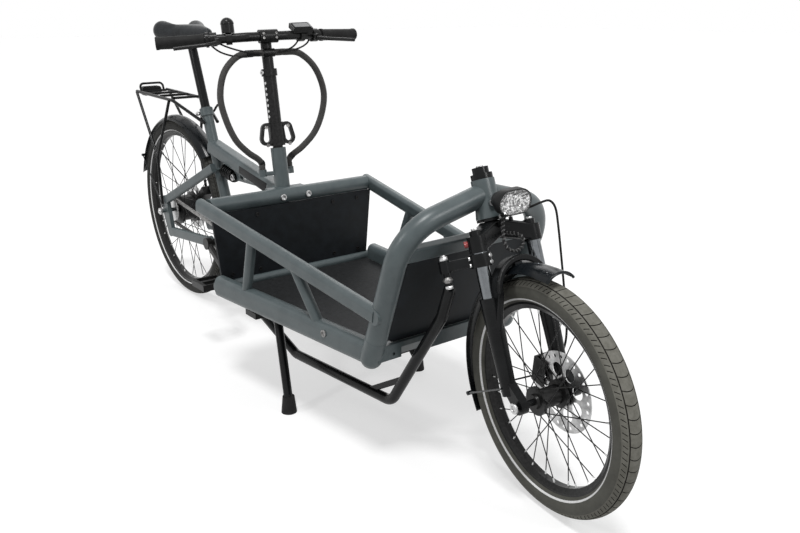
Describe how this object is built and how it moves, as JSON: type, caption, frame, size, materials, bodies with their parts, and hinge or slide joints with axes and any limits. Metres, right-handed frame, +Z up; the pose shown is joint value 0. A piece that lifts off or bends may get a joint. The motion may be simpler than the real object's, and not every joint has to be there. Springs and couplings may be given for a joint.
{
  "type": "front-loading electric cargo bike",
  "caption": "Two-wheeled electric cargo bike with a low open bay between a small front wheel, steered by a rod, and the rider, parked on a two-leg stand.",
  "frame": {"origin": "on the floor under the middle of the bike", "axes": "+X forward, +Y to the bike's left, +Z up"},
  "size_m": [2.3975, 0.61, 0.9948],
  "materials": {
    "frame_paint": "satin slate-grey powder coat",
    "black_metal": "satin black anodised and painted metal",
    "coated_board": "film-faced black board",
    "tyre_rubber": "dusty dark rubber with a pale reflective line",
    "bright_steel": "brushed",
    "black_plastic": "fine-grained",
    "soft_rubber": "matte",
    "sleeve": "spiral-wrapped sleeve",
    "saddle_leather": "smooth, slight sheen",
    "lamp_clear": "clear lens over a bright reflector",
    "lamp_red": "red lens"
  },
  "bodies": {
    "frame": {"lower_tubes": "frame_paint", "side_rails": "frame_paint", "bay_braces": "frame_paint", "front_arch": "frame_paint", "head_tube": "frame_paint", "cross_rails": "frame_paint", "floor_board": "coated_board", "rear_board": "coated_board", "front_board": "coated_board", "seat_tube": "frame_paint", "top_tube": "frame_paint", "column_tube": "frame_paint", "main_beam": "frame_paint", "upper_stays": "frame_paint", "chain_stays": "frame_paint", "shock": "black_metal", "motor": "black_plastic", "battery": "black_plastic", "seat_post": "black_metal", "saddle": "saddle_leather", "rack_platform": "black_metal", "rack_struts": "black_metal", "rear_guard": "black_plastic", "rear_lamp": "lamp_red", "chain": "bright_steel", "rear_caliper": "black_metal", "stand_bracket": "black_metal"},
    "rear_wheel": {"rear_tyre": "tyre_rubber", "rear_wire_wheel": "black_metal", "rear_disc": "bright_steel", "sprocket": "bright_steel"},
    "fork": {"fork_crown": "black_metal", "stanchions": "black_metal", "fork_lowers": "black_metal", "front_guard": "black_plastic", "headlamp": "lamp_clear", "front_caliper": "black_metal", "steering_clamp": "black_metal", "brake_hose": "soft_rubber"},
    "front_wheel": {"front_tyre": "tyre_rubber", "front_wire_wheel": "black_metal", "front_disc": "bright_steel"},
    "handlebar": {"stem": "black_metal", "fold_clamp": "black_metal", "handlebar": "black_metal", "grips": "soft_rubber", "controls": "black_plastic", "steering_lever": "black_metal", "cable_loops": "sleeve"},
    "steering_rod": {"steering_rod": "black_metal"},
    "stand": {"stand_legs": "black_metal", "stand_feet": "soft_rubber"},
    "cranks": {"cranks": "black_metal"},
    "pedal_right": {"pedal_right": "black_metal"},
    "pedal_left": {"pedal_left": "black_metal"}
  },
  "joints": [
    {"name": "rear_wheel_spin", "type": "hinge", "parent": "frame", "child": "rear_wheel", "pos_m": [-0.866, 0, 0.326], "axis": [0, 1, 0], "continuous": true},
    {"name": "steer", "type": "hinge", "parent": "frame", "child": "fork", "pos_m": [0.75103, 0, 0.6031], "axis": [-0.342, 0, 0.9397], "range_deg": [-18, 36]},
    {"name": "front_wheel_spin", "type": "hinge", "parent": "fork", "child": "front_wheel", "pos_m": [0.94821, -0.01064, 0.25771], "axis": [0.147, 0.9877, 0.0535], "continuous": true},
    {"name": "handlebar_turn", "type": "hinge", "parent": "frame", "child": "handlebar", "pos_m": [-0.094, 0, 0.205], "axis": [-0.1392, 0, 0.9903], "range_deg": [-18, 36]},
    {"name": "rod_swing", "type": "hinge", "parent": "fork", "child": "steering_rod", "pos_m": [0.74418, -0.12145, 0.51335], "axis": [-0.342, 0, 0.9397], "range_deg": [-36, 18]},
    {"name": "stand_fold", "type": "hinge", "parent": "frame", "child": "stand", "pos_m": [0.114, 0, 0.222], "axis": [0, 1, 0], "range_deg": [0, 110]},
    {"name": "crank_spin", "type": "hinge", "parent": "frame", "child": "cranks", "pos_m": [-0.47799, 0, 0.29], "axis": [0, 1, 0], "continuous": true},
    {"name": "pedal_right_spin", "type": "hinge", "parent": "cranks", "child": "pedal_right", "pos_m": [-0.33076, -0.098, 0.205], "axis": [0, 1, 0], "continuous": true},
    {"name": "pedal_left_spin", "type": "hinge", "parent": "cranks", "child": "pedal_left", "pos_m": [-0.62521, 0.098, 0.375], "axis": [0, 1, 0], "continuous": true}
  ],
  "couplings": [
    {"joint": "handlebar_turn", "follows": "steer", "ratio": 1},
    {"joint": "rod_swing", "follows": "steer", "ratio": -1}
  ]
}
